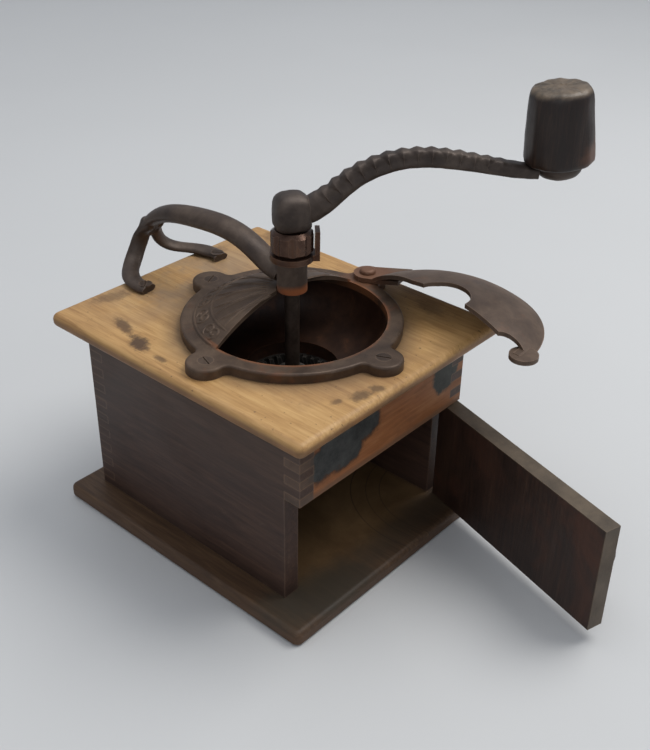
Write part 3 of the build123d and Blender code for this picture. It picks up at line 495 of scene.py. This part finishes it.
def curve_point(points, t):
    """Catmull-Rom through tuples of numbers; t runs from 0 to 1."""
    place = t * (len(points) - 1)
    i = min(int(place), len(points) - 2)
    u = place - i
    before = points[max(i - 1, 0)]
    beyond = points[min(i + 2, len(points) - 1)]
    return [0.5 * (2 * b + (c - a) * u + (2 * a - 5 * b + 4 * c - d) * u * u
                   + (3 * b - a - 3 * c + d) * u ** 3)
            for a, b, c, d in zip(before, points[i], points[i + 1], beyond)]


def rounded(width, depth, power=3.2, count=40):
    """Points of a squarish oval, as (across, up) pairs."""
    ring = []
    for i in range(count):
        angle = 2 * math.pi * i / count
        c = math.cos(angle)
        s = math.sin(angle)
        ring.append((width / 2 * math.copysign(abs(c) ** (2 / power), c),
                     depth / 2 * math.copysign(abs(s) ** (2 / power), s)))
    return ring


CRANK_LINE = [  # reach, height above the deck, width, depth
    (3.0, 65.5, 12.5, 13.0), (9.0, 66.5, 12.2, 12.8), (15.0, 70.2, 11.8, 12.6), (20.0, 74.3, 11.2, 12.0),
    (25.5, 79.2, 11.0, 11.3), (31.0, 83.4, 10.6, 11.0), (37.0, 86.9, 10.4, 10.6), (44.0, 89.9, 10.2, 10.2),
    (52.0, 92.2, 10.0, 10.0), (62.0, 93.4, 10.0, 9.8), (73.0, 93.0, 9.9, 9.6), (84.0, 91.5, 9.8, 9.2),
    (95.0, 89.6, 9.7, 8.6), (106.0, 87.4, 9.7, 7.8), (115.0, 86.0, 10.2, 7.0), (122.0, 85.6, 11.5, 6.4)]
RIB_PITCH = 7.0
CRANK_STEPS = 420
HUB_LOW = 57.0
HUB_W = 18.8
HUB_TURN = math.radians(14)
HUB_ROWS = [  # height over the hub's foot, growth of the half width
    (0, -1.3), (0.5, -0.5), (1.4, 0), (5, 0.2), (9, 0.1), (12.5, -0.1), (14.4, -0.7), (15.8, -1.6),
    (17.0, -3.0), (17.9, -5.0), (18.2, -7.2)]
PAD_ROWS = [  # height over the knob's foot, radius
    (-7.9, 5.5), (-7.6, 7.6), (-6.6, 9.6), (-4.9, 11.0), (-3.0, 11.6), (-1.4, 11.6), (-0.6, 11.2),
    (-0.36, 10.2)]
KNOB_SIDE = KNOB_UP.cross(CRANK_DIR).normalized()
KNOB_OUT = KNOB_SIDE.cross(KNOB_UP).normalized()


def crank_limb(made):
    """The crank's arm: a bowed bar with wedge-shaped ribs down its sides and a scalloped top."""
    rings = []
    travelled = 0
    before = None
    for step in range(CRANK_STEPS + 1):
        t = step / CRANK_STEPS
        reach, height, width, depth = curve_point(CRANK_LINE, t)
        ahead = curve_point(CRANK_LINE, min(1, t + 0.002))
        back = curve_point(CRANK_LINE, max(0, t - 0.002))
        slope = math.atan2(ahead[1] - back[1], ahead[0] - back[0])
        centre = SPINDLE.xy.to_3d() + CRANK_DIR * reach * MM + Vector((0, 0, DECK + height * MM))
        if before is not None:
            travelled += (centre - before).length / MM
        before = centre
        up = Vector((0, 0, math.cos(slope))) - CRANK_DIR * math.sin(slope)
        fade = min(1, max(0, (travelled - 12) / 8)) * min(1, max(0, (116 - travelled) / 16))
        phase = abs((travelled / RIB_PITCH) % 1 - 0.5)
        ring = []
        for across, high in rounded(width, depth):
            down = 0.5 - high / depth
            wedge = max(0.04, 0.40 * (1 - down / 0.62))
            cut = fade * (1 - max(0, 1 - phase / wedge))
            flank = min(1, abs(across) / (width / 2) * 1.15) * min(1, max(0, (0.66 - down) / 0.16))
            across -= math.copysign(1.25 * cut * flank, across)
            crest = fade * (1 - max(0, 1 - phase / 0.5) ** 0.8)
            high -= 0.95 * crest * max(0, 1 - down / 0.22)
            bump = noise.noise(Vector((across * 0.4, high * 0.4, travelled * 0.25))) * 0.12
            point = centre + CRANK_SIDE * (across + bump) * MM + up * (high + bump) * MM
            ring.append(point)
        rings.append(ring)
    tube(made, rings)


def crank_hub(made):
    """The rounded square hub on the spindle."""
    turn = CRANK + HUB_TURN
    rows = []
    for high, grow in HUB_ROWS:
        ring = []
        for a, b in rounded(HUB_W + 2 * grow, HUB_W + 2 * grow, 3.4, 48):
            x = a * math.cos(turn) - b * math.sin(turn)
            y = a * math.sin(turn) + b * math.cos(turn)
            wobble = 0.22 * noise.noise(Vector((x * 0.25, y * 0.25, high * 0.2)))
            ring.append(Vector((SPINDLE.x + (x + wobble) * MM, SPINDLE.y + (y + wobble) * MM,
                                DECK + (HUB_LOW + high + wobble * (high > 2)) * MM)))
        rows.append(ring)
    tube(made, rows)


def round_the_knob(high, radius, angle):
    """A point at a height over the knob's foot, a radius from its axis and an angle round it."""
    return (KNOB_FOOT + KNOB_UP * high * MM
            + (KNOB_OUT * math.cos(angle) + KNOB_SIDE * math.sin(angle)) * radius * MM)


def crank_casting():
    made = bmesh.new()
    crank_limb(made)
    crank_hub(made)
    angles = [2 * math.pi * i / 48 for i in range(48)]
    tube(made, [[round_the_knob(high, radius, angle) for angle in angles] for high, radius in PAD_ROWS])
    return add_object("crank_casting", made, "crank_iron", "spindle", "handle_iron", "crank_arm")


KNOB_ROWS = [  # height over the knob's foot, radius
    (0.05, 15.2), (0.3, 16.6), (1.2, 17.35), (3.0, 17.6), (8, 17.3), (14, 17.0), (20, 16.55), (26, 16.1),
    (31, 15.8), (33.8, 15.45), (35.6, 14.8), (36.9, 13.6), (37.5, 12.0), (37.8, 9.5), (37.7, 6.5),
    (37.5, 3.5)]


def turned_knob():
    """The crank's wooden knob: a taper with worn facets and a bruised crown."""
    made = bmesh.new()
    rows = []
    for high, radius in KNOB_ROWS:
        ring = []
        for i in range(96):
            angle = 2 * math.pi * i / 96
            facet = 0.16 * abs(math.sin(angle * 7 + 0.6 * math.sin(angle * 3)))
            place = Vector((math.cos(angle) * 1.3, math.sin(angle) * 1.3, high * 0.06))
            worn = 0.35 * noise.noise(place * 1.7) + 0.12 * noise.noise(place * 6)
            r = radius - facet * min(1, radius / 15) + worn * min(1, radius / 15)
            chipped = 0.5 * noise.noise(Vector((math.cos(angle) * 3, math.sin(angle) * 3, 5))) * (high > 34.5)
            lift = chipped + (0.25 * noise.noise(Vector((angle * 2, radius * 0.6, 3))) if high > 36.5 else 0)
            ring.append(round_the_knob(max(0.05, min(KNOB_H, high + lift)), r, angle))
        rows.append(ring)
    tube(made, rows)
    return add_object("turned_knob", made, "knob_wood", "knob", "knob_wood", "crank_knob")


crank_casting()
turned_knob()


# ---------------------------------------------------------------- relief on the fixed half dome
DOME_ARC = ((54.0, 4.9), (29.0, 17.4), (0.0, 23.0))  # three places on its profile: radius, height


def dome_height(radius):
    """Height of the dome's upper face above the deck, at a distance from the spindle, in millimetres."""
    a, b, c = (Vector(place) for place in DOME_ARC)
    d = 2 * (a.x * (b.y - c.y) + b.x * (c.y - a.y) + c.x * (a.y - b.y))
    cx = (a.dot(a) * (b.y - c.y) + b.dot(b) * (c.y - a.y) + c.dot(c) * (a.y - b.y)) / d
    cy = (a.dot(a) * (c.x - b.x) + b.dot(b) * (a.x - c.x) + c.dot(c) * (b.x - a.x)) / d
    r = math.hypot(a.x - cx, a.y - cy)
    return cy + math.sqrt(max(0, r * r - (radius - cx) ** 2))


def dome_tube(made, path, thick):
    """A raised cord of metal that lies half sunk in the dome, along (radius, angle) places."""
    points = []
    for radius, angle in path:
        x = radius * math.cos(angle)
        y = radius * math.sin(angle)
        points.append(Vector((x, y, dome_height(radius) - 0.12)))
    rings = []
    for i, point in enumerate(points):
        ahead = points[min(i + 1, len(points) - 1)] - points[max(i - 1, 0)]
        ahead.normalize()
        radial = Vector((point.x, point.y, 0)).normalized()
        up = (Vector((0, 0, 1)) + radial * 0.4).normalized()
        across = ahead.cross(up).normalized()
        up = across.cross(ahead).normalized()
        taper = min(1, (i + 0.6) / 2, (len(points) - 0.4 - i) / 2)
        ring = []
        for k in range(8):
            turn = 2 * math.pi * k / 8
            place = point + (across * math.cos(turn) * 1.15 + up * math.sin(turn) * 0.8) * thick * taper
            ring.append(Vector((SPINDLE.x + place.x * MM, SPINDLE.y + place.y * MM, DECK + place.z * MM)))
        rings.append(ring)
    tube(made, rings)


RELIEF_RINGS = ((51.6, 0.8), (42.6, 0.75))  # radius, thickness
RELIEF_RIBS = 17
RELIEF_SCROLLS = 8


def cover_relief():
    """Two rings, a fan of ribs and a row of scrolls, cast on the fixed half dome."""
    made = bmesh.new()
    start = math.radians(8)
    stop = math.radians(172)
    for radius, thick in RELIEF_RINGS:
        arc = [(radius, start + (stop - start) * i / 70) for i in range(71)]
        dome_tube(made, arc, thick)
    for i in range(RELIEF_RIBS):
        angle = start + (stop - start) * (i + 0.5) / RELIEF_RIBS
        sway = 0.06 if i % 2 else -0.06
        path = [(13.0 + 28.5 * k / 12, angle + sway * math.sin(math.pi * k / 12)) for k in range(13)]
        dome_tube(made, path, 0.9)
    for i in range(RELIEF_SCROLLS):
        middle = start + (stop - start) * (i + 0.5) / RELIEF_SCROLLS
        for way in (-1, 1):
            path = []
            for k in range(22):
                turn = k / 21 * 2.4 * math.pi
                size = 3.6 * (1 - 0.72 * k / 21)
                radius = 47.0 + size * math.cos(turn) * 0.95
                angle = middle + way * (0.052 + size * math.sin(turn) / 47.0)
                path.append((min(50.6, radius), angle))
            dome_tube(made, path, 0.8)
    add_object("cover_relief", made, "dark_iron", "frame", "dark_iron")


cover_relief()


# ---------------------------------------------------------------- stage, light and camera
CAMERA_AT = Vector((-0.36932, -0.35928, 0.40920))
LOOK = Vector((0.63805, 0.55790, -0.53070))
RIGHT = Vector((0.66481, -0.74688, 0.01413))
UP = Vector((0.38849, 0.36183, 0.84744))
LENS = 52.28


def plain_paint(name, colour, rough):
    g = Graph(name)
    slow = g.noise(2.2, 3, 0.5)
    shade = g.mix(g.span(slow, 0.3, 0.7), tuple(0.97 * c for c in colour), colour)
    g.done(shade, rough, g.bump(g.noise(300, 3, 0.6), 0.04, 0.0004), specular=0.25)
    return g.mat


def stage_plane(name, corners, material):
    made = bmesh.new()
    made.faces.new([made.verts.new(c) for c in corners])
    data = bpy.data.meshes.new(name)
    made.to_mesh(data)
    made.free()
    obj = bpy.data.objects.new(name, data)
    bpy.context.scene.collection.objects.link(obj)
    obj.data.materials.append(material)


stage_plane("floor", [(-4, -4, 0), (4, -4, 0), (4, 4, 0), (-4, 4, 0)],
            plain_paint("floor_paint", (0.60, 0.605, 0.605), 0.6))


def area_light(name, place, target, size, power, colour):
    data = bpy.data.lights.new(name, "AREA")
    data.shape = "DISK"
    data.size = size
    data.energy = power
    data.color = colour
    obj = bpy.data.objects.new(name, data)
    obj.location = place
    obj.rotation_euler = (Vector(target) - Vector(place)).to_track_quat("-Z", "Y").to_euler()
    bpy.context.scene.collection.objects.link(obj)


area_light("window", (0.75, -0.45, 1.5), (0, 0, 0.1), 1.1, 17, (1.0, 0.985, 0.96))
area_light("ceiling", (0.1, 0.4, 1.7), (0, 0, 0.1), 1.5, 7, (0.98, 0.99, 1.0))
area_light("room", (-1.4, -0.9, 1.3), (0, 0, 0.08), 1.6, 4, (0.96, 0.98, 1.0))

world = bpy.data.worlds.new("room_light")
bpy.context.scene.world = world
world.use_nodes = True
world.node_tree.nodes["Background"].inputs[0].default_value = (0.86, 0.91, 1.0, 1)
world.node_tree.nodes["Background"].inputs[1].default_value = 0.42

lens = bpy.data.cameras.new("camera")
lens.lens = LENS
lens.sensor_width = 36
lens.clip_start = 0.01
camera = bpy.data.objects.new("camera", lens)
camera.matrix_world = Matrix((
    (RIGHT.x, UP.x, -LOOK.x, CAMERA_AT.x),
    (RIGHT.y, UP.y, -LOOK.y, CAMERA_AT.y),
    (RIGHT.z, UP.z, -LOOK.z, CAMERA_AT.z),
    (0, 0, 0, 1)))
bpy.context.scene.collection.objects.link(camera)
bpy.context.scene.camera = camera
bpy.context.scene.view_settings.view_transform = "Standard"
